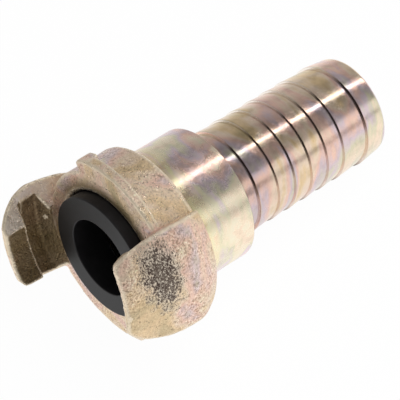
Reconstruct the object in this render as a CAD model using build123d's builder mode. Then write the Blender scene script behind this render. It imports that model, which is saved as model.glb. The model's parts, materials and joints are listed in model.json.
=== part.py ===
from build123d import *
import os
from math import atan2, cos, radians, sin, tan

os.makedirs("parts", exist_ok=True)

# Quarter-turn claw coupling with a swivelling hose tail, lying on its side.
# All sizes are in mm. Distances along the coupling are measured from the flange face,
# positive towards the hose, and angles turn about the coupling's axis from the
# leading face of the first claw.

# Cast head
hub_r = 26.3            # body behind the flange, and the flange face between claw and cam
hub_length = 17.0       # flange face to the back of the head
hub_chamfer = 1.0
claw_r = 34.0           # greatest radius of the domed claws
claw_reach = 17.2       # claw tips ahead of the flange face
tip_r = 28.6            # outer radius of the claw at its tip
dome_front = 3.0        # where the dome starts to fall away towards the tip
dome_back = 4.0         # where it starts to fall away towards the hose
heel_r = 28.0           # outer radius of the claw at the back of the head
lip_r = 26.4            # inside of the hooked lip, just clear of the mating hub
lip_back = 9.6          # back face of the lip, ahead of the flange face
groove_r = 30.8         # inside of the claw behind its lip
root_slope = 3.2        # height of the sloped root between groove and flange face
trailing_turn = 12.0    # direction that the claw's trailing face looks away from
trailing_reach = 23.4   # distance of the trailing face from the axis
tip_round = 2.4         # rounding of the tip's leading corner
claw_edge_round = 0.7
tolerance = 0.05        # for telling faces and edges apart
clear = 1.0             # how far a cut starts outside the metal

# Cams behind the flange, which the mating claws hook over
cam_r = 30.3
cam_free_end = 106.0    # angle of the cam's free end
lug_end = 114.0         # angle where the locking lug falls to the cam
lug_height = 5.5
cam_height = 3.3        # middle of the sloping cam
cam_slope = 2.0         # rise of the cam towards its lug, degrees
cam_corner_round = 1.5  # free end, seen along the coupling
lug_edge_round = 0.6    # back of the lug

# Seal
seal_r = 19.6
seal_hole_r = 12.4
seal_proud = 3.5        # seal face ahead of the flange face
seal_depth = 7.4        # back of the seal inside the mouth
seal_foot_r = 22.0      # foot that snaps into the undercut of the mouth
seal_foot_height = 3.2
seal_play = 0.1         # between the foot and the undercut, along the coupling
mouth_clearance = 0.3
mouth_chamfer = 0.8

# Swivel
spigot_r = 18.8
spigot_start = 8.0
swivel_clearance = 0.08
head_gap = 0.3          # between the back of the head and the collar
snap_ring_inner_r = 17.6
snap_ring_outer_r = 20.4
snap_ring_start = 9.8
snap_ring_width = 1.8
snap_ring_play = 0.1
snap_ring_gap = 14.0    # opening of the ring, degrees
o_ring_centre = 14.4
o_ring_section_r = 1.15
o_ring_groove_width = 2.9

# Turned hose tail
bore_r = 12.5
collar_r = 21.6
collar_end = 37.5
collar_chamfer = 0.5
neck_r = 15.8
crest_r = 17.1          # barb crests, for hose of 32 mm bore
foot_r = 16.2           # foot of each barb
first_barb = 44.3
second_barb = 52.0
barb_pitch = 6.7
barb_count = 5          # evenly spaced barbs from the second one
last_barb = 88.8
last_foot_r = 15.9
tail_end = 97.0
tail_end_r = 16.3
tail_chamfer = 1.0
crest_land = 0.5        # flat on each crest

# How it lies: on the second cam and on the rim of the tail, with its first claw a little above
claw_lift = 37.8        # from straight down to the leading face of the first claw, degrees
mouth_x = -39.03        # puts the middle of the footprint at the origin
cam_middle = (lug_end + 180) / 2
rest_height = cam_height + cam_r * tan(radians(cam_slope)) * sin(radians(cam_middle + claw_lift - 180))
lean = atan2(cam_r - tail_end_r, tail_end - tail_chamfer - rest_height)
mouth_height = rest_height * sin(lean) + cam_r * cos(lean)
along = Vector(cos(lean), 0, -sin(lean))
down = Vector(-sin(lean), 0, -cos(lean))
aside = Vector(0, 1, 0)
claw_direction = down * cos(radians(claw_lift)) + aside * sin(radians(claw_lift))
mouth = Plane(origin=(mouth_x, 0, mouth_height), x_dir=claw_direction, z_dir=along)
section = Plane(origin=mouth.origin, x_dir=mouth.x_dir, z_dir=-mouth.y_dir)
axis = Axis(mouth.origin, mouth.z_dir)


def direction(angle):
    """Unit vector away from the axis at an angle in degrees."""
    return mouth.x_dir * cos(radians(angle)) + mouth.y_dir * sin(radians(angle))


def height(point):
    """Distance of a point behind the flange face."""
    return (point - mouth.origin).dot(mouth.z_dir)


def radius(point):
    """Distance of a point from the axis."""
    return (point - mouth.origin).cross(mouth.z_dir).length


def axis_side(point):
    """Distance of a point from the plane of the claws' leading faces."""
    return (point - mouth.origin).dot(mouth.y_dir)


# Cast head: two hooked claws cut from a domed body of revolution, standing on a round hub
claw_corner = trailing_reach / cos(radians(trailing_turn))
far = 2 * claw_r
claw_plan = [(claw_corner, 0), (far, 0), (far, far),
             (claw_corner - far * sin(radians(trailing_turn)), far * cos(radians(trailing_turn)))]
with BuildPart() as head:
    with BuildSketch(section):
        with BuildLine():
            Polyline((0, 0), (lip_r, 0), (groove_r, -root_slope), (groove_r, -lip_back),
                     (lip_r, -lip_back), (lip_r, -claw_reach), (tip_r, -claw_reach))
            TangentArc((claw_r, -dome_front), (tip_r, -claw_reach), tangent=(0, -1))
            Line((claw_r, -dome_front), (claw_r, dome_back))
            TangentArc((claw_r, dome_back), (heel_r, hub_length), tangent=(0, 1))
            Polyline((heel_r, hub_length), (0, hub_length), (0, 0))
        make_face()
    revolve(axis=axis)
    with BuildSketch(mouth.offset(-claw_reach)):
        with PolarLocations(0, 2):
            Polygon(*claw_plan, align=None)
    extrude(amount=claw_reach + hub_length, mode=Mode.INTERSECT)
    tip_edges = edges().group_by(axis)[0].filter_by(GeomType.LINE)
    fillet(tip_edges.filter_by(lambda edge: abs(axis_side(edge.center())) < tolerance), tip_round)
    dome = faces().filter_by(lambda face: radius(face.center()) > groove_r + tolerance)
    dome_rim = edges().filter_by(lambda edge: sum(edge in face.edges() for face in dome) == 1)
    fillet(dome_rim, claw_edge_round)
    with BuildSketch(section):
        Polygon((0, 0), (hub_r, 0), (hub_r, hub_length - hub_chamfer),
                (hub_r - hub_chamfer, hub_length), (0, hub_length), align=None)
    revolve(axis=axis)

    # Cams: each is a sector of a flange as high as its lug, whose back is then cut to a slope
    half_span = (180 - lug_end) / 2
    for turn in (0, 180):
        cam_start = Plane(mouth.origin, x_dir=direction(cam_free_end + turn), z_dir=mouth.z_dir)
        with BuildSketch(cam_start):
            with BuildLine():
                cam_arc = CenterArc((0, 0), cam_r, 0, 180 - cam_free_end)
                Polyline(cam_arc @ 1, (0, 0), cam_arc @ 0)
            make_face()
            fillet(vertices().sort_by(Axis.X)[-1], cam_corner_round)
        extrude(amount=lug_height)
        middle = cam_middle + turn
        rise = mouth.z_dir * cos(radians(cam_slope)) + direction(middle + 90) * sin(radians(cam_slope))
        cam_back = Plane(mouth.offset(cam_height).origin, x_dir=direction(middle), z_dir=rise)
        with BuildSketch(cam_back):
            with BuildLine():
                cut_arc = CenterArc((0, 0), claw_r, -half_span, 2 * half_span)
                Polyline(cut_arc @ 1, (0, 0), cut_arc @ 0)
            make_face()
            Circle(hub_r, mode=Mode.SUBTRACT)
        extrude(amount=lug_height, mode=Mode.SUBTRACT)
    lug_rim = edges().filter_by(GeomType.CIRCLE).filter_by(
        lambda edge: abs(height(edge.center()) - lug_height) < tolerance and radius(edge.center()) > hub_r + clear)
    fillet(lug_rim, lug_edge_round)

    mouth_r = seal_r + mouth_clearance
    foot_seat_r = seal_foot_r + mouth_clearance
    foot_top = seal_depth - seal_foot_height
    spigot_bore_r = spigot_r + swivel_clearance
    with BuildSketch(section):
        with BuildLine():
            Polyline((0, -clear), (mouth_r + mouth_chamfer + clear, -clear), (mouth_r, mouth_chamfer),
                     (mouth_r, foot_top), (foot_seat_r, foot_top), (foot_seat_r, seal_depth),
                     (spigot_bore_r, seal_depth), (spigot_bore_r, snap_ring_start),
                     (snap_ring_outer_r, snap_ring_start),
                     (snap_ring_outer_r, snap_ring_start + snap_ring_width),
                     (spigot_bore_r, snap_ring_start + snap_ring_width),
                     (spigot_bore_r, hub_length + clear), (0, hub_length + clear), close=True)
        make_face()
    revolve(axis=axis, mode=Mode.SUBTRACT)
head.part.label = "head"
export_step(head.part, "parts/head.step")

# Moulded seal: a ring with a foot that snaps into the mouth, and a sealing face that stands proud
with BuildPart() as seal:
    with BuildSketch(section):
        with BuildLine():
            Polyline((seal_hole_r, -seal_proud), (seal_r, -seal_proud), (seal_r, foot_top + seal_play),
                     (seal_foot_r, foot_top + seal_play), (seal_foot_r, seal_depth),
                     (seal_hole_r, seal_depth), close=True)
        make_face()
    revolve(axis=axis)
seal.part.label = "seal"
export_step(seal.part, "parts/seal.step")

# Hose tail: turned from bar, with the swivel spigot, the collar and the barbed stem
snap_groove_start = snap_ring_start - snap_ring_play
snap_groove_end = snap_ring_start + snap_ring_width + snap_ring_play
o_ring_groove_start = o_ring_centre - o_ring_groove_width / 2
o_ring_groove_end = o_ring_centre + o_ring_groove_width / 2
o_ring_r = spigot_r - o_ring_section_r
collar_start = hub_length + head_gap
crests = [first_barb] + [second_barb + barb_pitch * i for i in range(barb_count)] + [last_barb]
outline = [(bore_r, spigot_start), (spigot_r, spigot_start),
           (spigot_r, snap_groove_start), (snap_ring_inner_r, snap_groove_start),
           (snap_ring_inner_r, snap_groove_end), (spigot_r, snap_groove_end),
           (spigot_r, o_ring_groove_start), (o_ring_r - o_ring_section_r, o_ring_groove_start),
           (o_ring_r - o_ring_section_r, o_ring_groove_end), (spigot_r, o_ring_groove_end),
           (spigot_r, collar_start), (collar_r - collar_chamfer, collar_start),
           (collar_r, collar_start + collar_chamfer), (collar_r, collar_end - collar_chamfer),
           (collar_r - collar_chamfer, collar_end), (neck_r, collar_end)]
for crest in crests:
    approach_r = neck_r if crest == first_barb else last_foot_r if crest == last_barb else foot_r
    outline += [(approach_r, crest), (crest_r, crest), (crest_r, crest + crest_land)]
outline += [(tail_end_r, tail_end - tail_chamfer), (tail_end_r - tail_chamfer, tail_end),
            (bore_r, tail_end)]
with BuildPart() as hose_tail:
    with BuildSketch(section):
        with BuildLine():
            Polyline(*outline, close=True)
        make_face()
    revolve(axis=axis)
hose_tail.part.label = "hose_tail"
export_step(hose_tail.part, "parts/hose_tail.step")

# Snap ring: an open spring ring, half in the head and half in the spigot, that holds the tail
with BuildPart() as snap_ring:
    with BuildSketch(section):
        with Locations((snap_ring_inner_r + snap_ring_play, snap_ring_start)):
            Rectangle(snap_ring_outer_r - snap_ring_inner_r - snap_ring_play, snap_ring_width,
                      align=(Align.MIN, Align.MIN))
    revolve(axis=axis, revolution_arc=360 - snap_ring_gap)
snap_ring.part.label = "snap_ring"
export_step(snap_ring.part, "parts/snap_ring.step")

# O-ring of the swivel
with BuildPart() as o_ring:
    with BuildSketch(section):
        with Locations((o_ring_r, o_ring_centre)):
            Circle(o_ring_section_r)
    revolve(axis=axis)
o_ring.part.label = "o_ring"
export_step(o_ring.part, "parts/o_ring.step")
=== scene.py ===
import json
import math
import bmesh
import bpy
import numpy as np
from mathutils import Matrix, Vector


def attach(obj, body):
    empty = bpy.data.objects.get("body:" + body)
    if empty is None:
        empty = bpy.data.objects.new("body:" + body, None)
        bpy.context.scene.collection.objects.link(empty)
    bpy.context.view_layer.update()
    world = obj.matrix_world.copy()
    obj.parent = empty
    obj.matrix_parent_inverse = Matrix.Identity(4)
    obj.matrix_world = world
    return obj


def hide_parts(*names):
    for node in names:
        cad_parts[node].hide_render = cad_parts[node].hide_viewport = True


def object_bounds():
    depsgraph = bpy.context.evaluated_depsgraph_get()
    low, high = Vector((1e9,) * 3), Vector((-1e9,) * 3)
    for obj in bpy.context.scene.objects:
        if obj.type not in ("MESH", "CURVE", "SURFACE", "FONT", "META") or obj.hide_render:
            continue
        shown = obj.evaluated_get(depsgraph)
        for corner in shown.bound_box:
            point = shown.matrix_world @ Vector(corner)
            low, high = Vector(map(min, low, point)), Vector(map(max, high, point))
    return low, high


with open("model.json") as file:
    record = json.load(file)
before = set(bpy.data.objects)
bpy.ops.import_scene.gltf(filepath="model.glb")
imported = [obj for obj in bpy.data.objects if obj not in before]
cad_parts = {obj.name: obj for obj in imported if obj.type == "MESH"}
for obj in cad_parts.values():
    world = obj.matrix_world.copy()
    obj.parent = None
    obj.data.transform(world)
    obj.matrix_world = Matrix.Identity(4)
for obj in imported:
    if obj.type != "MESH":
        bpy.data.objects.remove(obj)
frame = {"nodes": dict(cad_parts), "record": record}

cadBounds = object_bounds()
print("frame loaded:", ", ".join(sorted(frame["nodes"])))

# The coupling's own axes. Lengths along it run from the flange face towards the hose, turns run
# about it in degrees from the leading face of the first claw. Everything is in metres.
mm = 0.001
clawTurn = 37.8         # from straight down to that leading face
mounts = {mount["name"]: mount for mount in frame["record"]["mounts"]}
mouth = np.array(mounts["claw_interface"]["pos_m"])
along = -np.array(mounts["claw_interface"]["axis"])
along = along / np.linalg.norm(along)
lean = math.asin(-along[2])
aside = np.array([0.0, 1.0, 0.0])
down = np.cross(aside, along)


# Direction across the axis: cos(angle) down plus sin(angle) aside.
def outward(turn):
    angle = np.radians(np.asarray(turn, dtype=float) + clawTurn)
    return np.cos(angle)[..., None] * down + np.sin(angle)[..., None] * aside


# Point = mouth + distance along the axis + radius outward.
def atCoupling(distance, radius, turn):
    distance, radius, turn = np.broadcast_arrays(distance, radius, turn)
    return mouth + distance[..., None] * along + radius[..., None] * outward(turn)


# The reverse: distance, radius and turn of points given in the object's frame.
def fromCoupling(points):
    offset = points - mouth
    distance = offset @ along
    turn = np.degrees(np.arctan2(offset @ aside, offset @ down)) - clawTurn
    return distance, np.hypot(offset @ aside, offset @ down), turn % 360


def meshPiece(name, points, faces, material, smooth=True):
    mesh = bpy.data.meshes.new(name)
    mesh.from_pydata(np.asarray(points).tolist(), [], np.asarray(faces).tolist())
    mesh.update()
    mesh.polygons.foreach_set("use_smooth", np.full(len(mesh.polygons), smooth))
    mesh.materials.append(material)
    piece = bpy.data.objects.new(name, mesh)
    bpy.context.scene.collection.objects.link(piece)
    return piece


outlining = {"arcSteps": 4, "share": 0.45, "holding": 0.06 * mm, "holdingShare": 1.05}


# Closed outline of (distance, radius, rounding) corners. Each corner becomes a quadratic curve
# from a point on one side to a point on the other, pulled towards the corner, with a point just
# outside each end that keeps the long faces' shading flat. No curve takes more than a share of
# the side it starts on.
def roundedOutline(corners):
    o = outlining
    ring = np.array([corner[:2] for corner in corners], dtype=float)
    sizes = np.array([corner[2] for corner in corners], dtype=float)
    before = np.roll(ring, 1, axis=0) - ring
    after = np.roll(ring, -1, axis=0) - ring
    reach = np.minimum(np.linalg.norm(before, axis=1), np.linalg.norm(after, axis=1)) * o["share"]
    before /= np.linalg.norm(before, axis=1)[:, None]
    after /= np.linalg.norm(after, axis=1)[:, None]
    halfTurn = np.arccos(np.clip((before * after).sum(axis=1), -1, 1)) / 2
    setback = np.minimum(sizes / np.tan(halfTurn), reach)
    step = np.linspace(0, 1, o["arcSteps"])[None, :, None]
    start = (ring + before * setback[:, None])[:, None, :]
    end = (ring + after * setback[:, None])[:, None, :]
    bend = (1 - step) ** 2 * start + 2 * step * (1 - step) * ring[:, None, :] + step ** 2 * end
    holding = np.minimum(setback + o["holding"], reach * o["holdingShare"])[:, None]
    first, last = ring + before * holding, ring + after * holding
    return np.concatenate([first[:, None, :], bend, last[:, None, :]], axis=1).reshape(-1, 2)


# Surface of revolution: the rounded outline carried once about the coupling's axis.
def turned(name, corners, material, around):
    outline = roundedOutline(corners)
    turn = np.linspace(0, 360, around, endpoint=False)
    points = atCoupling(outline[:, 0][:, None], outline[:, 1][:, None], turn[None, :])
    rows, columns = points.shape[:2]
    row, column = np.meshgrid(np.arange(rows), np.arange(columns), indexing="ij")
    nextRow, nextColumn = (row + 1) % rows, (column + 1) % columns
    faces = np.stack([row * columns + column, row * columns + nextColumn,
                      nextRow * columns + nextColumn, nextRow * columns + column], axis=-1)
    piece = meshPiece(name, points.reshape(-1, 3), faces.reshape(-1, 4), material)
    work = bmesh.new()
    work.from_mesh(piece.data)
    bmesh.ops.recalc_face_normals(work, faces=work.faces)
    work.to_mesh(piece.data)
    work.free()
    return piece


def newMaterial(name):
    material = bpy.data.materials.new(name)
    material.use_nodes = True
    tree = material.node_tree
    return material, tree, tree.nodes["Principled BSDF"]


def node(tree, kind, inputs=None, **settings):
    made = tree.nodes.new(kind)
    for key, value in settings.items():
        setattr(made, key, value)
    for key, value in (inputs or {}).items():
        if isinstance(value, bpy.types.NodeSocket):
            tree.links.new(value, made.inputs[key])
        else:
            made.inputs[key].default_value = value
    return made


def ramp(tree, factor, stops):
    made = node(tree, "ShaderNodeValToRGB", {"Fac": factor})
    elements = made.color_ramp.elements
    while len(elements) < len(stops):
        elements.new(0.5)
    for element, (place, colour) in zip(elements, stops):
        element.position = place
        element.color = (*colour, 1.0) if isinstance(colour, tuple) else (colour, colour, colour, 1.0)
    return made.outputs["Color"]


def blend(tree, factor, first, second, mode="MIX"):
    inputs = {"Factor": factor}
    for key, value in ((6, first), (7, second)):
        inputs[key] = (*value, 1.0) if isinstance(value, tuple) else value
    return node(tree, "ShaderNodeMix", inputs, data_type="RGBA", blend_type=mode).outputs[2]


def calculate(tree, operation, first, second=0.0):
    return node(tree, "ShaderNodeMath", {0: first, 1: second}, operation=operation).outputs[0]


# All its values multiplied together.
def product(tree, first, *others):
    for other in others:
        first = calculate(tree, "MULTIPLY", first, other)
    return first


def vectorMath(tree, operation, *vectors):
    made = node(tree, "ShaderNodeVectorMath", dict(enumerate(vectors)), operation=operation)
    return made.outputs["Value" if operation in ("DOT_PRODUCT", "LENGTH") else "Vector"]


def component(tree, vector, axis):
    return node(tree, "ShaderNodeSeparateXYZ", {0: vector}).outputs[axis]


def noise(tree, vector, scale, detail=2.0, roughness=0.5, distortion=0.0):
    inputs = {"Vector": vector, "Scale": scale, "Detail": detail,
              "Roughness": roughness, "Distortion": distortion}
    return node(tree, "ShaderNodeTexNoise", inputs).outputs["Fac"]


# Object coordinates turned to the coupling: X along its axis from the flange face, Y aside, Z up.
def couplingPlace(tree):
    place = node(tree, "ShaderNodeTexCoord").outputs["Object"]
    inputs = {"Vector": place, "Location": tuple(mouth), "Rotation": (0.0, lean, 0.0)}
    return node(tree, "ShaderNodeMapping", inputs, vector_type="TEXTURE").outputs[0]


# The surface's normal, turned the same way.
def couplingNormal(tree):
    normal = node(tree, "ShaderNodeTexCoord").outputs["Normal"]
    inputs = {"Vector": normal, "Rotation": (0.0, -lean, 0.0)}
    return node(tree, "ShaderNodeMapping", inputs, vector_type="VECTOR").outputs[0]


# A constant vector turned the same way: a distance along the axis and an offset across it.
def turnedToCoupling(offset, distance=0.0):
    return distance, float(offset @ aside), float(-offset @ down)


# A place without its distance along the axis; its length is the radius.
def acrossAxis(tree, place):
    return vectorMath(tree, "MULTIPLY", place, (0.0, 1.0, 1.0))


def stretched(tree, vector, scale):
    return node(tree, "ShaderNodeMapping", {"Vector": vector, "Scale": scale}).outputs[0]


# From low to high as a noise goes from 0.3 to 0.7, where nearly all of it lies.
def between(tree, value, low, high):
    inputs = {"Value": value, "From Min": 0.3, "From Max": 0.7, "To Min": low, "To Max": high}
    return node(tree, "ShaderNodeMapRange", inputs).outputs[0]


def bumped(tree, shader, height, strength, distance):
    bump = node(tree, "ShaderNodeBump", {"Height": height, "Strength": strength, "Distance": distance})
    tree.links.new(bump.outputs["Normal"], shader.inputs["Normal"])


passivate = {
    "olive": (0.60, 0.48, 0.27),
    "gold": (0.86, 0.64, 0.38),
    "straw": (0.92, 0.74, 0.57),
    "pink": (0.91, 0.61, 0.50),
    "lilac": (0.72, 0.59, 0.63),
    "green": (0.74, 0.69, 0.50),
    "order": [(0.36, "olive"), (0.46, "gold"), (0.54, "straw"), (0.62, "pink"), (0.71, "lilac"),
              (0.80, "green"), (0.88, "straw")],
    "mottleScale": 7.0, "mottleShare": 0.16,
}


# Yellow passivation on zinc: one soft noise picks the hue, a finer one shifts it between bands,
# as the thickness of the coat does.
def buildPassivation():
    p = passivate
    group = bpy.data.node_groups.new("yellowPassivation", "ShaderNodeTree")
    for label, kind in (("Vector", "Vector"), ("Scale", "Float"), ("Shift", "Float")):
        group.interface.new_socket(label, in_out="INPUT", socket_type="NodeSocket" + kind)
    group.interface.new_socket("Color", in_out="OUTPUT", socket_type="NodeSocketColor")
    enter = group.nodes.new("NodeGroupInput")
    leave = group.nodes.new("NodeGroupOutput")
    vector, scale = enter.outputs["Vector"], enter.outputs["Scale"]
    cloud = noise(group, vector, scale, 2.0, 0.5, 0.8)
    mottle = noise(group, vector, product(group, scale, p["mottleScale"]), 3.0, 0.6)
    thickness = calculate(group, "ADD", cloud, product(group, mottle, p["mottleShare"]))
    thickness = calculate(group, "ADD", thickness, enter.outputs["Shift"])
    hue = ramp(group, thickness, [(place, p[name]) for place, name in p["order"]])
    group.links.new(hue, leave.inputs["Color"])
    return group


passivation = buildPassivation()


def passivated(tree, vector, scale, shift):
    inputs = {"Vector": vector, "Scale": scale, "Shift": shift}
    return node(tree, "ShaderNodeGroup", inputs, node_tree=passivation).outputs["Color"]


hookShadeAndLight = {
    "radius": 24.0 * mm, "inward": [(0.15, 0.0), (0.5, 1.0)], "lipBack": -4.0 * mm, "lipFacing": 0.5,
    # the colour and strength of the painted shade inside the hooks
    "colour": (0.15, 0.105, 0.045), "share": 0.92,
    # the flat end face of each claw, on its trailing side: the turn it looks along, how far out
    # it reaches that way, how squarely a face has to look that way and the radius it starts at
    "trailingTurn": 12.0, "trailingReach": 24.7 * mm, "squareness": 0.94, "endRadius": 26.3 * mm,
    # the painted light on those end faces, and its strength
    "paintedEndLight": (1.0, 0.91, 0.82), "paintedEndLightShare": 0.7,
}


# Painted shade inside the hooks: faces that look towards the axis, and the back of the lip, darkened to a
# dull brown where shade falls. Painted light on the trailing end faces of the claws, which are made
# paler.
def paintHookShadeAndLight(tree, place, hue, grainAndGlints):
    h = hookShadeAndLight
    across = acrossAxis(tree, place)
    normal = couplingNormal(tree)
    facing = vectorMath(tree, "DOT_PRODUCT", normal, vectorMath(tree, "NORMALIZE", across))
    radius = vectorMath(tree, "LENGTH", across)
    inward = ramp(tree, product(tree, facing, -1.0), h["inward"])
    lipBack = product(tree, calculate(tree, "GREATER_THAN", component(tree, normal, "X"), h["lipFacing"]),
                      calculate(tree, "LESS_THAN", component(tree, place, "X"), h["lipBack"]))
    hookShadeMask = product(tree, calculate(tree, "MAXIMUM", inward, lipBack),
                     calculate(tree, "GREATER_THAN", radius, h["radius"]))

    trailing = turnedToCoupling(outward(h["trailingTurn"]))
    reach = calculate(tree, "ABSOLUTE", vectorMath(tree, "DOT_PRODUCT", place, trailing))
    square = calculate(tree, "ABSOLUTE", vectorMath(tree, "DOT_PRODUCT", normal, trailing))
    litEndMask = product(tree, calculate(tree, "GREATER_THAN", square, h["squareness"]),
                    calculate(tree, "LESS_THAN", reach, h["trailingReach"]),
                    calculate(tree, "GREATER_THAN", radius, h["endRadius"]))
    hookShadeMask = product(tree, hookShadeMask, calculate(tree, "SUBTRACT", 1.0, litEndMask))

    # painted light on the trailing end faces, then painted shade in the hooks
    hue = blend(tree, product(tree, litEndMask, h["paintedEndLightShare"]), hue, h["paintedEndLight"])
    hookShade = blend(tree, 1.0, h["colour"], grainAndGlints, "MULTIPLY")
    return blend(tree, product(tree, hookShadeMask, h["share"]), hue, hookShade)


mouthShade = {
    "colour": (0.24, 0.17, 0.08), "facing": -0.4,
    # how strong it is at shares of a radius, and at shares of a height over the axis
    "radius": 30.0 * mm, "radii": [(0.72, 1.0), (0.84, 0.0)],
    "height": 10.0 * mm, "heights": [(0.0, 0.1), (1.0, 0.95)],
}


# Painted shade: the flange face darkened to olive round the upper half of the seal, where the raised seal
# shades it, fading outward.
def shadeMouth(tree, place, hue, grainAndGlints):
    m = mouthShade
    radius = vectorMath(tree, "LENGTH", acrossAxis(tree, place))
    nearSeal = ramp(tree, calculate(tree, "DIVIDE", radius, m["radius"]), m["radii"])
    onFlange = calculate(tree, "LESS_THAN", component(tree, couplingNormal(tree), "X"), m["facing"])
    upper = ramp(tree, calculate(tree, "DIVIDE", component(tree, place, "Z"), m["height"]), m["heights"])
    shade = blend(tree, 1.0, m["colour"], grainAndGlints, "MULTIPLY")
    return blend(tree, product(tree, nearSeal, onFlange, upper), hue, shade)


rubbedPatchAndReflection = {
    "distance": -4.6 * mm, "radius": 33.0 * mm, "turn": 198.0,
    "size": 13.0 * mm, "stretch": (1.9, 1.0, 1.0), "wander": 0.9,
    "fade": [(0.38, 1.0), (1.0, 0.0)], "least": 0.02,
    "streaks": 2300.0, "streakStretch": (1.0, 0.7, 0.7), "reflectionGrowth": 0.16, "darkReflection": [(0.36, 1.0), (0.46, 0.0)],
    # the painted dark reflection's colour, the bare metal ground, the streaks' relief and the polish
    "colour": (0.11, 0.075, 0.06), "ground": (0.90, 0.80, 0.66), "height": 1.6, "polish": 0.10,
}


# A rubbed, unplated patch in the middle of the second claw, polished and streaked, on a pale ground; its
# dark streaks are a painted reflection of the dark room. Gives back the colour, the patch's mask and its
# streaks.
def paintRubbedPatchReflection(tree, place, hue, skin):
    r = rubbedPatchAndReflection
    centre = turnedToCoupling(outward(r["turn"]) * r["radius"], r["distance"])
    offset = stretched(tree, vectorMath(tree, "SUBTRACT", place, centre), r["stretch"])
    wander = product(tree, calculate(tree, "SUBTRACT", skin, 0.5), r["wander"] * r["size"])
    near = calculate(tree, "ADD", vectorMath(tree, "LENGTH", offset), wander)
    rubbed = ramp(tree, calculate(tree, "DIVIDE", near, r["size"]), r["fade"])
    streaks = noise(tree, stretched(tree, place, r["streakStretch"]), r["streaks"], 3.0, 0.7, 0.6)
    darkReflection = calculate(tree, "SUBTRACT", streaks, product(tree, rubbed, r["reflectionGrowth"]))
    # painted reflection: the dark streaks
    dark = product(tree, ramp(tree, darkReflection, r["darkReflection"]), calculate(tree, "GREATER_THAN", rubbed, r["least"]))
    hue = blend(tree, rubbed, hue, r["ground"])
    return blend(tree, dark, hue, r["colour"]), rubbed, streaks


castFinish = {
    "hueScale": 58.0, "hueShift": -0.02, "tan": (1.0, 0.77, 0.56), "tanShare": 0.2,
    "grain": 1700.0,
    # grain colour; its brightest grains, above 1, are painted glints
    "grainAndGlints": [(0.32, (0.40, 0.33, 0.27)), (0.45, (0.84, 0.80, 0.76)), (0.55, 1.04), (0.68, 1.4)],
    "patches": 60.0, "patched": [(0.38, 0.30), (0.58, 0.95)],
    "pits": 900.0, "pitted": [(0.27, 1.0), (0.36, 0.0)], "pitColour": (0.22, 0.14, 0.07), "pitShare": 0.5,
    # the painted highlight on sharp edges
    "edges": [(0.502, 0.0), (0.522, 1.0)], "edgeLightColour": (1.0, 0.86, 0.66), "edgeLightShare": 0.8,
    "skin": 420.0, "skinHeight": 1.2, "pitDepth": 0.35, "relief": 0.36 * mm, "reliefStrength": 0.8,
    "roughness": (0.24, 0.40), "metallic": 0.8,
}


# Passivated sand casting: the coat with its speckle, painted glints and pits, then painted shade, painted
# light and a painted reflection on parts of it.
def castMaterial():
    c = castFinish
    material, tree, shader = newMaterial("castPassivated")
    place = couplingPlace(tree)
    grain = noise(tree, place, c["grain"], 3.0, 0.6)
    skin = noise(tree, place, c["skin"], 2.0, 0.5)
    pits = ramp(tree, noise(tree, place, c["pits"], 1.0, 0.4), c["pitted"])

    hue = passivated(tree, place, c["hueScale"], c["hueShift"])
    hue = blend(tree, c["tanShare"], hue, c["tan"])
    # speckled grain, its brightest grains painted glints
    grainAndGlints = blend(tree, ramp(tree, noise(tree, place, c["patches"], 2.0), c["patched"]),
                    (1.0, 1.0, 1.0), ramp(tree, grain, c["grainAndGlints"]))
    hue = blend(tree, 1.0, hue, grainAndGlints, "MULTIPLY")
    hue = blend(tree, product(tree, pits, c["pitShare"]), hue, c["pitColour"])
    hue = paintHookShadeAndLight(tree, place, hue, grainAndGlints)
    hue = shadeMouth(tree, place, hue, grainAndGlints)
    hue, rubbed, streaks = paintRubbedPatchReflection(tree, place, hue, skin)
    # painted highlight: bright gold on sharp edges, where they catch the light
    edges = ramp(tree, node(tree, "ShaderNodeNewGeometry").outputs["Pointiness"], c["edges"])
    hue = blend(tree, product(tree, edges, c["edgeLightShare"]), hue, c["edgeLightColour"])
    tree.links.new(hue, shader.inputs["Base Color"])

    height = calculate(tree, "ADD", grain, product(tree, skin, c["skinHeight"]))
    height = calculate(tree, "SUBTRACT", height, product(tree, pits, c["pitDepth"]))
    height = calculate(tree, "ADD", height, product(tree, rubbed, rubbedPatchAndReflection["height"], streaks))
    bumped(tree, shader, height, c["reliefStrength"], c["relief"])
    rough = between(tree, skin, *c["roughness"])
    rough = calculate(tree, "SUBTRACT", rough, product(tree, rubbed, rubbedPatchAndReflection["polish"]))
    tree.links.new(rough, shader.inputs["Roughness"])
    shader.inputs["Metallic"].default_value = c["metallic"]
    return material


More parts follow.
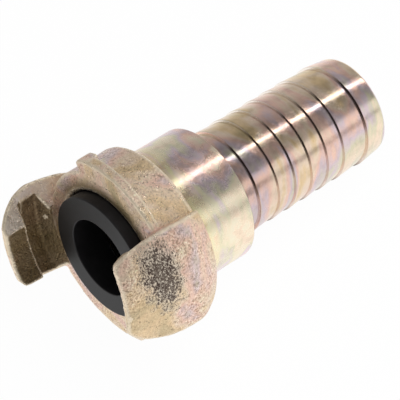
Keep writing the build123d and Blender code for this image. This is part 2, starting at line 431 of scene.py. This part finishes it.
turnedFinish = {
    "hueScale": 34.0, "bandStretch": (2.2, 1.0, 1.0), "length": 100.0 * mm,
    # at shares of that length along the axis: how far round its colours the coat is, how gold
    # it is where the collar starts, and how bright
    "coatSpan": 0.6,
    "coat": [(0.17, 0.34), (0.23, 0.52), (0.30, 0.66), (0.375, 0.62), (0.40, 0.32), (0.52, 0.40),
             (0.62, 0.58), (0.78, 0.60), (0.84, 0.42), (0.885, 0.50), (0.93, 0.70), (1.0, 0.68)],
    "goldEnd": [(0.175, 0.8), (0.25, 0.0)], "goldColour": (1.0, 0.76, 0.40),
    "tone": [(0.17, 1.22), (0.37, 1.16), (0.40, 0.88), (0.60, 0.92), (0.80, 1.0), (1.0, 1.05)],
    "sagging": 0.10,
    "mottle": 260.0, "mottled": [(0.32, 0.86), (0.5, 1.0), (0.68, 1.06)],
    # painted shade in the bore and along the collar's far rim
    "boreAndRimShade": (0.05, 0.045, 0.04), "boreRadius": 12.9 * mm, "rim": [(0.2, 0.0), (0.6, 0.9)],
    "collarMargin": 0.5 * mm,
    # painted light and shade round the barbs' steps, from one side of the tail to the other: pale, dark,
    # dark, bright highlight
    "steps": [(0.04, (0.80, 0.66, 0.58)), (0.14, (0.05, 0.035, 0.03)),
              (0.44, (0.05, 0.035, 0.03)), (0.56, (1.0, 0.93, 0.85))],
    "stepFacing": [(0.35, 0.0), (0.7, 1.0)],
    "toolPitch": 0.45 * mm, "ringStretch": (1.0, 0.02, 0.02), "toolDepth": 0.004 * mm,
    "marks": 700.0, "markStretch": (1.0, 0.15, 0.15), "markShare": 0.8,
    "roughness": (0.14, 0.28), "collarRough": 0.06, "metallic": 0.95,
}


# Passivated turned steel: the coat drifts through its colours along the tail.
def turnedMaterial():
    t = turnedFinish
    material, tree, shader = newMaterial("turnedPassivated")
    place = couplingPlace(tree)
    radius = vectorMath(tree, "LENGTH", acrossAxis(tree, place))
    axial = component(tree, couplingNormal(tree), "X")
    forward = calculate(tree, "DIVIDE", component(tree, place, "X"), t["length"])
    side = calculate(tree, "DIVIDE", component(tree, place, "Y"), hoseTail["crest"])
    collarEnd = (hoseTail["collarEnd"] + t["collarMargin"]) / t["length"]
    onCollar = calculate(tree, "LESS_THAN", forward, collarEnd)

    # the coat: its place in the order of colours shifts along the tail and down one side
    shift = product(tree, ramp(tree, forward, t["coat"]), t["coatSpan"])
    shift = calculate(tree, "SUBTRACT", shift, t["coatSpan"] / 2)
    sagging = product(tree, calculate(tree, "MINIMUM", side, 0.0), t["sagging"])
    shift = calculate(tree, "SUBTRACT", shift, sagging)
    hue = passivated(tree, stretched(tree, place, t["bandStretch"]), t["hueScale"], shift)
    hue = blend(tree, ramp(tree, forward, t["goldEnd"]), hue, t["goldColour"])
    hue = blend(tree, 1.0, hue, ramp(tree, forward, t["tone"]), "MULTIPLY")
    mottle = noise(tree, place, t["mottle"], 3.0, 0.6)
    hue = blend(tree, 1.0, hue, ramp(tree, mottle, t["mottled"]), "MULTIPLY")

    # painted shade inside the bore and a painted shadow line on the collar's far rim, and painted light
    # and shade round the barbs' steps
    inside = calculate(tree, "LESS_THAN", radius, t["boreRadius"])
    hue = blend(tree, inside, hue, t["boreAndRimShade"])
    shadowedRim = calculate(tree, "GREATER_THAN", radius, hoseTail["collar"] - hoseTail["collarEdge"])
    hue = blend(tree, product(tree, shadowedRim, ramp(tree, axial, t["rim"])), hue, t["boreAndRimShade"])
    sideways = calculate(tree, "ADD", product(tree, side, 0.5), 0.5)
    # painted light and shade on the steps that face the head
    stepShadeMask = ramp(tree, product(tree, axial, -1.0), t["stepFacing"])
    stepShadeMask = product(tree, stepShadeMask, calculate(tree, "SUBTRACT", 1.0, onCollar))
    hue = blend(tree, stepShadeMask, hue, ramp(tree, sideways, t["steps"]))
    tree.links.new(hue, shader.inputs["Base Color"])

    # tool marks: noise along the axis only, so they run round as rings
    rings = noise(tree, stretched(tree, place, t["ringStretch"]), 1.0 / t["toolPitch"], 2.0, 0.6)
    marks = noise(tree, stretched(tree, place, t["markStretch"]), t["marks"], 2.0, 0.6)
    height = calculate(tree, "ADD", rings, product(tree, marks, t["markShare"]))
    bumped(tree, shader, height, 1.0, t["toolDepth"])
    rough = between(tree, mottle, *t["roughness"])
    rough = calculate(tree, "ADD", rough, product(tree, onCollar, t["collarRough"]))
    tree.links.new(rough, shader.inputs["Roughness"])
    shader.inputs["Metallic"].default_value = t["metallic"]
    return material


rubberFinish = {
    "bloom": 300.0, "bloomed": [(0.3, (0.007, 0.0065, 0.007)), (0.7, (0.012, 0.011, 0.012))],
    "grain": 1500.0, "relief": 0.05 * mm, "reliefStrength": 0.3, "roughness": 0.46, "specular": 0.32,
}


def rubberMaterial():
    r = rubberFinish
    material, tree, shader = newMaterial("blackRubber")
    place = couplingPlace(tree)
    bloom = ramp(tree, noise(tree, place, r["bloom"], 3.0, 0.6), r["bloomed"])
    tree.links.new(bloom, shader.inputs["Base Color"])
    bumped(tree, shader, noise(tree, place, r["grain"]), r["reliefStrength"], r["relief"])
    shader.inputs["Roughness"].default_value = r["roughness"]
    shader.inputs["Specular IOR Level"].default_value = r["specular"]
    return material


steelFinish = {"cloud": 400.0, "greys": [(0.3, 0.36), (0.7, 0.46)], "roughness": 0.35}


def steelMaterial():
    s = steelFinish
    material, tree, shader = newMaterial("springSteel")
    grey = ramp(tree, noise(tree, couplingPlace(tree), s["cloud"]), s["greys"])
    tree.links.new(grey, shader.inputs["Base Color"])
    shader.inputs["Metallic"].default_value = 1.0
    shader.inputs["Roughness"].default_value = s["roughness"]
    return material


castPassivated = castMaterial()
blackRubber = rubberMaterial()
springSteel = steelMaterial()
print("materials ready")

headCasting = {
    "weld": 1e-6, "voxel": 0.46 * mm, "softening": 0.5, "smoothing": 3,
    "waviness": 0.08 * mm, "waveLength": 9.0 * mm, "wavePhase": (0.4, 1.7, 2.9),
    "skinRadius": 24.5 * mm, "skinFade": 2.0 * mm,
    # how each claw came out of the sand, in mm at distances from the flange face: its outside
    # fuller or thinner, its leading face ahead of the pattern or behind it, and its leading
    # corner back from the tip
    "place": (-17, -13, -9, -5, 0, 4, 8, 12, 17),
    "claws": [
        {"turn": 0, "fuller": (0.0, 0.3, 0.5, 0.2, -0.7, -1.7, -2.7, -2.7, -1.6),
         "ahead": (-2.2, -1.5, -1.0, -0.5, 0.0, 0.0, 0.0, 0.0, 0.0), "cornerBack": 0.0},
        {"turn": 180, "fuller": (-0.6, -1.6, -2.0, -1.2, -0.2, 0.0, 0.3, 0.0, -0.3),
         "ahead": (-0.3, 0.6, 1.3, 1.8, 1.9, 1.8, 1.6, 1.3, 0.8), "cornerBack": 1.7}],
    # the pattern's radii in mm, and the distances that the changes fade over
    "hub": 26.0, "hubMargin": 0.5, "hubFade": 1.5, "root": 30.8, "outer": 33.6, "stepFade": 0.8,
    "lipBack": -9.6, "lipOut": 0.9, "lipStart": 1.0, "lipFade": 1.6,
    "cornerStart": 11, "cornerFade": 6,
    # degrees past a claw's leading face: where its turns are counted from, where it starts and
    # ends, and where the changes fade
    "seam": 20, "clawStart": 15, "clawSpan": 75,
    "leadStart": 14, "leadSpan": 34, "edgeSpan": 4, "cornerSpan": 42,
}


# Moves the claws' points (in mm and degrees): outward by an amount that grows from nothing at the
# claw's inside to full at its outside, the lip's inside outward, round the axis by an amount that
# fades away from the leading face on both sides, and back from the tip at the leading corner.
# Every limit is a fade, so that nothing tears.
def castVariation(distance, radius, turn):
    h = headCasting
    moved = [distance.copy(), radius.copy(), turn.copy()]
    steps = (h["lipBack"] - h["stepFade"], h["lipBack"] + h["stepFade"], -h["stepFade"], h["stepFade"])
    inner = np.interp(distance, steps, (h["hub"], h["root"], h["root"], h["hub"]))
    depth = np.clip((radius - inner) / (h["outer"] - inner), 0, 1)
    offHub = np.clip((radius - h["hub"]) / h["hubFade"], 0, 1)
    onLip = np.clip((h["lipBack"] + h["lipStart"] - distance) / h["lipFade"], 0, 1)
    onLip = onLip * (radius > h["hub"] - h["hubMargin"])
    onTip = np.clip((-distance - h["cornerStart"]) / h["cornerFade"], 0, 1)
    for claw in h["claws"]:
        past = (turn - claw["turn"] + h["seam"]) % 360 - h["seam"]
        onClaw = (past > -h["clawStart"]) & (past < h["clawSpan"])
        nearLead = np.where(past < 0, np.clip(1 + past / h["leadStart"], 0, 1),
                            np.clip(1 - past / h["leadSpan"], 0, 1)) * onClaw
        offEdge = np.clip(1 + past / h["edgeSpan"], 0, 1)
        moved[1] += np.interp(distance, h["place"], claw["fuller"]) * depth * offEdge * onClaw
        moved[1] += h["lipOut"] * (1 - depth) * onLip * onClaw
        ahead = np.interp(distance, h["place"], claw["ahead"])
        moved[2] -= np.degrees(ahead / np.maximum(radius, 1)) * nearLead * offHub
        nearCorner = np.clip(1 - past / h["cornerSpan"], 0, 1) * onClaw
        moved[0] += claw["cornerBack"] * onTip * nearCorner
    return moved


# The head's skin as cast: the solid remeshed finely, its edges softened, its claws varied as
# above, and every point moved outward by a little waviness, a product of three sines of its place.
def buildHeadCasting():
    h = headCasting
    piece = bpy.data.objects.new("headCasting", frame["nodes"]["head"].data.copy())
    bpy.context.scene.collection.objects.link(piece)
    work = bmesh.new()
    work.from_mesh(piece.data)
    bmesh.ops.remove_doubles(work, verts=work.verts, dist=h["weld"])
    work.to_mesh(piece.data)
    work.free()
    remesh = piece.modifiers.new("skin", "REMESH")
    remesh.mode = "VOXEL"
    remesh.voxel_size = h["voxel"]
    soften = piece.modifiers.new("soften", "SMOOTH")
    soften.factor = h["softening"]
    soften.iterations = h["smoothing"]
    depsgraph = bpy.context.evaluated_depsgraph_get()
    mesh = bpy.data.meshes.new_from_object(piece.evaluated_get(depsgraph))
    piece.modifiers.clear()
    piece.data = mesh

    flat = np.empty(len(mesh.vertices) * 3)
    mesh.vertices.foreach_get("co", flat)
    points = flat.reshape(-1, 3)
    distance, radius, turn = fromCoupling(points)
    distance, radius, turn = castVariation(distance / mm, radius / mm, turn)
    points = atCoupling(distance * mm, radius * mm, turn)
    radius = radius * mm
    wave = np.sin(points * (2 * math.pi / h["waveLength"]) + np.array(h["wavePhase"])).prod(axis=1)
    onSkin = np.clip((radius - h["skinRadius"]) / h["skinFade"], 0, 1)
    points += outward(turn) * (h["waviness"] * wave * onSkin)[:, None]
    points = np.clip(points, cadBounds[0], cadBounds[1])
    mesh.vertices.foreach_set("co", points.ravel())
    mesh.update()
    mesh.polygons.foreach_set("use_smooth", np.full(len(mesh.polygons), True))
    mesh.materials.clear()
    mesh.materials.append(castPassivated)
    return piece


head = buildHeadCasting()
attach(head, "coupling_head")
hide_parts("head")
print("head casting:", len(head.data.polygons), "faces")

faceSeal = {
    "outer": 19.6 * mm, "hole": 12.4 * mm, "face": -3.5 * mm, "back": 7.4 * mm,
    "foot": 22.0 * mm, "footFront": 4.3 * mm, "edge": 0.35 * mm, "innerEdge": 0.1 * mm,
}


# A ring whose wider foot sits in the head's groove: its outline turned about the axis.
def buildSeal():
    s = faceSeal
    corners = [
        (s["face"], s["hole"], s["edge"]), (s["face"], s["outer"], s["edge"]),
        (s["footFront"], s["outer"], s["innerEdge"]), (s["footFront"], s["foot"], s["edge"]),
        (s["back"], s["foot"], s["edge"]), (s["back"], s["hole"], s["edge"])]
    return turned("faceSeal", corners, blackRubber, around=192)


seal = buildSeal()
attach(seal, "coupling_head")
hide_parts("seal")


hoseTail = {
    "bore": 12.5 * mm, "spigot": 18.8 * mm, "spigotStart": 8.0 * mm,
    "collar": 21.6 * mm, "collarStart": 17.3 * mm, "collarEnd": 37.5 * mm, "collarEdge": 0.3 * mm,
    "neck": 15.9 * mm, "neckRidge": 16.3 * mm, "ridgePlace": 41.0 * mm, "ridgeRound": 0.5 * mm,
    "crest": 17.1 * mm, "foot": 16.55 * mm, "lastFoot": 16.4 * mm,
    "firstBarb": 44.3 * mm, "secondBarb": 52.0 * mm, "pitch": 6.7 * mm, "barbs": 5, "lastBarb": 88.8 * mm,
    "end": 96.95 * mm, "endRadius": 16.18 * mm, "endEdge": 1.0 * mm, "boreEdge": 0.3 * mm,
    "crestLand": 0.3 * mm, "crestRound": 0.12 * mm, "toolRound": 0.05 * mm, "shoulderSlope": 0.08 * mm,
}

turnedPassivated = turnedMaterial()


# Spigot, collar, neck and barbs turned from one outline: each barb rises in a steep shoulder to
# its crest and slopes down to the foot of the next.
def buildHoseTail():
    t = hoseTail
    small = t["toolRound"]
    corners = [
        (t["spigotStart"], t["bore"], small), (t["spigotStart"], t["spigot"], small),
        (t["collarStart"], t["spigot"], small), (t["collarStart"], t["collar"], t["collarEdge"]),
        (t["collarEnd"], t["collar"], t["collarEdge"]), (t["collarEnd"], t["neck"], small)]
    corners += [(t["ridgePlace"], t["neckRidge"], t["ridgeRound"])]
    even = [t["secondBarb"] + t["pitch"] * i for i in range(t["barbs"])]
    feet = [t["neckRidge"]] + [t["foot"]] * t["barbs"] + [t["lastFoot"]]
    for barb, foot in zip([t["firstBarb"], *even, t["lastBarb"]], feet):
        corners += [(barb - t["shoulderSlope"], foot, small), (barb, t["crest"], t["crestRound"]),
                    (barb + t["crestLand"], t["crest"], t["crestRound"])]
    corners += [(t["end"], t["endRadius"], t["endEdge"]), (t["end"], t["bore"], t["boreEdge"])]
    return turned("tailTurning", corners, turnedPassivated, around=256)


tail = buildHoseTail()
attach(tail, "swivel_tail")
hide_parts("hose_tail")

for name, material in (("snap_ring", springSteel), ("o_ring", blackRubber)):
    ring = frame["nodes"][name]
    for slot in ring.material_slots:
        slot.material = material
print("tail, seal and rings ready")

studio = {
    "tableSize": 4.0, "tableColour": (0.9, 0.9, 0.9), "tableRough": 0.9, "tableWhite": 0.97,
    "tableFade": [(0.10, 1.0), (0.18, 0.76), (0.32, 0.60), (1.0, 0.45)], "fadeLength": 0.5,
    "sky": [(0.0, 0.48), (0.30, 0.45), (0.58, 0.22), (1.0, 0.22)],
    "lampAim": 40.0 * mm,       # the point the lamps face, along the axis from the flange face
}


# The table is white to the camera, and white in the metal near the object, duller beyond it.
def buildTable():
    material, tree, shader = newMaterial("whiteTable")
    shader.inputs["Base Color"].default_value = (*studio["tableColour"], 1.0)
    shader.inputs["Roughness"].default_value = studio["tableRough"]
    behind = component(tree, node(tree, "ShaderNodeTexCoord").outputs["Object"], "Y")
    fade = ramp(tree, calculate(tree, "DIVIDE", behind, studio["fadeLength"]), studio["tableFade"])
    ray = node(tree, "ShaderNodeLightPath")
    glossy, transmitted = ray.outputs["Is Glossy Ray"], ray.outputs["Is Transmission Ray"]
    mirrored = calculate(tree, "MAXIMUM", glossy, transmitted)
    seen = node(tree, "ShaderNodeEmission", {"Color": (1.0, 1.0, 1.0, 1.0), "Strength": 1.0})
    reflected = node(tree, "ShaderNodeEmission", {"Color": fade, "Strength": 1.0})
    share = calculate(tree, "MULTIPLY", ray.outputs["Is Camera Ray"], studio["tableWhite"])
    plain = node(tree, "ShaderNodeMixShader", {"Fac": share, 1: shader.outputs[0], 2: seen.outputs[0]})
    shaders = {"Fac": mirrored, 1: plain.outputs[0], 2: reflected.outputs[0]}
    mix = node(tree, "ShaderNodeMixShader", shaders)
    tree.links.new(mix.outputs[0], tree.nodes["Material Output"].inputs["Surface"])
    half = studio["tableSize"] / 2
    corners = [(-half, -half, 0), (half, -half, 0), (half, half, 0), (-half, half, 0)]
    meshPiece("table", corners, [(0, 1, 2, 3)], material, smooth=False)


# The room is dim overhead and paler towards the horizon; the camera sees it white.
def buildRoom():
    world = bpy.data.worlds.new("studio")
    bpy.context.scene.world = world
    world.use_nodes = True
    tree = world.node_tree
    upward = component(tree, node(tree, "ShaderNodeTexCoord").outputs["Generated"], "Z")
    grey = ramp(tree, upward, studio["sky"])
    ray = node(tree, "ShaderNodeLightPath")
    colour = blend(tree, ray.outputs["Is Camera Ray"], grey, (1.0, 1.0, 1.0))
    tree.links.new(colour, tree.nodes["Background"].inputs["Color"])


lamps = {
    # name: turn from +X, height, distance, width, length, watts, seen in the metal
    "strip": (6, 51, 0.9, 0.06, 1.1, 1.0, True),
    "sideCard": (-52, 20, 1.0, 0.30, 1.2, 0.6, True),
    "softTop": (-60, 65, 1.0, 1.0, 1.0, 9.0, False),
}


# Each lamp faces the coupling, its long side in line with the coupling's axis.
def buildLamps(centre):
    for name, (turn, height, distance, width, length, watts, mirrored) in lamps.items():
        turn, height = math.radians(turn), math.radians(height)
        level = math.cos(height)
        away = Vector((level * math.cos(turn), level * math.sin(turn), math.sin(height)))
        side = Vector(along.tolist()).cross(away).normalized()
        light = bpy.data.lights.new(name, "AREA")
        light.shape = "RECTANGLE"
        light.size = width
        light.size_y = length
        light.energy = watts
        lamp = bpy.data.objects.new(name, light)
        facing = Matrix((side, away.cross(side), away)).transposed().to_4x4()
        lamp.matrix_world = Matrix.Translation(centre + away * distance) @ facing
        lamp.visible_glossy = mirrored
        lamp.visible_camera = False
        bpy.context.scene.collection.objects.link(lamp)


cameraView = {
    # from the middle of the flange face: along the axis, across it and out towards the viewer
    "along": -297.4 * mm, "across": -0.84 * mm, "out": 606.7 * mm, "acrossTurn": 83.0, "outTurn": 173.0,
    "slope": 31.607, "recede": 28.689,    # the axis climbs the view and recedes from it, degrees
    "lens": 208.97, "sensor": 36.0, "nearest": 0.01, "farthest": 20.0,
}


# The camera's right, down and ahead follow from how the coupling's three axes lie in its view.
def buildCamera():
    v = cameraView
    slope, recede = math.radians(v["slope"]), math.radians(v["recede"])
    level = math.cos(recede)
    axisSeen = np.array([level * math.cos(slope), -level * math.sin(slope), math.sin(recede)])
    acrossSeen = np.array([-math.sin(slope), -math.cos(slope), 0.0])
    seen = np.stack([axisSeen, acrossSeen, np.cross(axisSeen, acrossSeen)])
    across, out = outward(v["acrossTurn"]), outward(v["outTurn"])
    right, below, ahead = (np.stack([along, across, out], axis=1) @ seen).T
    place = mouth + v["along"] * along + v["across"] * across + v["out"] * out
    lens = bpy.data.cameras.new("camera")
    lens.lens = v["lens"]
    lens.sensor_width = v["sensor"]
    lens.clip_start = v["nearest"]
    lens.clip_end = v["farthest"]
    camera = bpy.data.objects.new("camera", lens)
    facing = Matrix(np.stack([right, -below, -ahead], axis=1).tolist()).to_4x4()
    camera.matrix_world = Matrix.Translation(Vector(place.tolist())) @ facing
    bpy.context.scene.collection.objects.link(camera)
    bpy.context.scene.camera = camera


buildTable()
buildRoom()
buildLamps(Vector((mouth + along * studio["lampAim"]).tolist()))
buildCamera()
bpy.context.scene.view_settings.view_transform = "Standard"
print("studio ready")
